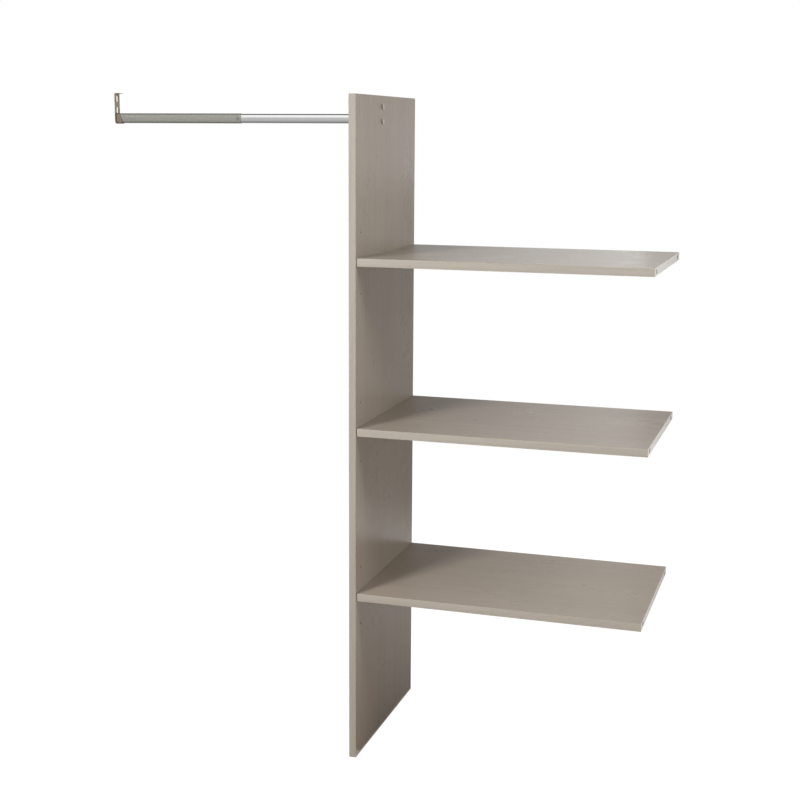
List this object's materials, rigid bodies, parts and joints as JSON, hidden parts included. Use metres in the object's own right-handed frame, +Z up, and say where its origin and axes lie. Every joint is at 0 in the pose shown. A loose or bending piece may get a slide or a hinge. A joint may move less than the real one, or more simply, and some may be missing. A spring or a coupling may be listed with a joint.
{
  "type": "wall mounted closet system",
  "caption": "Upright closet panel with open shelves on one side and a telescopic hanging rod on the other, fixed to the walls around it.",
  "frame": {"origin": "middle of the upright panel's foot", "axes": "+X along the shelves away from the hanging rod, +Y towards the wall behind, +Z up"},
  "size_m": [1.7744, 0.59, 2.05],
  "materials": {
    "melamine_board": "greige wood-grain melamine, fine and matt",
    "edge_band": "matt band in the board's colour",
    "chrome_tube": "bright chrome",
    "satin_tube": "satin grey steel",
    "satin_steel": "plain zinc-plated fastener",
    "zinc_steel": "stamped sheet with a brownish sheen",
    "bolt_chrome": "bright chrome",
    "cam_metal": "die-cast grey metal",
    "dark_plastic": "moulded dark plastic",
    "beech": "plain beech"
  },
  "bodies": {
    "closet_frame": {"panel_board": "melamine_board", "panel_front_band": "edge_band", "panel_top_band": "edge_band", "panel_foot_band": "edge_band", "low_shelf_board": "melamine_board", "low_shelf_band": "edge_band", "low_shelf_sockets": "dark_plastic", "mid_shelf_board": "melamine_board", "mid_shelf_band": "edge_band", "mid_shelf_sockets": "dark_plastic", "high_shelf_board": "melamine_board", "high_shelf_band": "edge_band", "high_shelf_sockets": "dark_plastic", "shelf_bolts": "satin_steel", "shelf_dowels": "beech", "rod_inner_tube": "chrome_tube", "rod_glide_plug": "dark_plastic", "rod_panel_bracket": "zinc_steel", "rod_panel_bracket_screw": "satin_steel", "rod_bolts": "bolt_chrome", "rod_barrel_nuts": "satin_steel", "low_wall_angle": "zinc_steel", "high_wall_angle": "zinc_steel", "wall_angle_screws": "satin_steel"},
    "rod_slide": {"rod_outer_tube": "satin_tube", "rod_wall_bracket": "zinc_steel", "rod_wall_bracket_screw": "satin_steel"},
    "rod_lock_screw": {"rod_lock_screw": "satin_steel"},
    "low_front_cam": {"low_front_cam": "cam_metal"},
    "low_back_cam": {"low_back_cam": "cam_metal"},
    "mid_front_cam": {"mid_front_cam": "cam_metal"},
    "mid_back_cam": {"mid_back_cam": "cam_metal"},
    "high_front_cam": {"high_front_cam": "cam_metal"},
    "high_back_cam": {"high_back_cam": "cam_metal"}
  },
  "joints": [
    {"name": "rod_length", "type": "slide", "parent": "closet_frame", "child": "rod_slide", "axis": [-1, 0, 0], "range_m": [-0.16, 0.17]},
    {"name": "rod_lock_turn", "type": "hinge", "parent": "rod_slide", "child": "rod_lock_screw", "pos_m": [-0.4659, -0.056, 1.971], "axis": [0, -1, 0], "range_deg": [0, 180]},
    {"name": "low_front_cam_turn", "type": "hinge", "parent": "closet_frame", "child": "low_front_cam", "pos_m": [0.0454, -0.25, 0.512], "axis": [0, 0, 1], "range_deg": [0, 180]},
    {"name": "low_back_cam_turn", "type": "hinge", "parent": "closet_frame", "child": "low_back_cam", "pos_m": [0.0454, 0.25, 0.512], "axis": [0, 0, 1], "range_deg": [0, 180]},
    {"name": "mid_front_cam_turn", "type": "hinge", "parent": "closet_frame", "child": "mid_front_cam", "pos_m": [0.0454, -0.25, 1.03], "axis": [0, 0, 1], "range_deg": [0, 180]},
    {"name": "mid_back_cam_turn", "type": "hinge", "parent": "closet_frame", "child": "mid_back_cam", "pos_m": [0.0454, 0.25, 1.03], "axis": [0, 0, 1], "range_deg": [0, 180]},
    {"name": "high_front_cam_turn", "type": "hinge", "parent": "closet_frame", "child": "high_front_cam", "pos_m": [0.0454, -0.25, 1.5415], "axis": [0, 0, 1], "range_deg": [0, 180]},
    {"name": "high_back_cam_turn", "type": "hinge", "parent": "closet_frame", "child": "high_back_cam", "pos_m": [0.0454, 0.25, 1.5415], "axis": [0, 0, 1], "range_deg": [0, 180]}
  ]
}
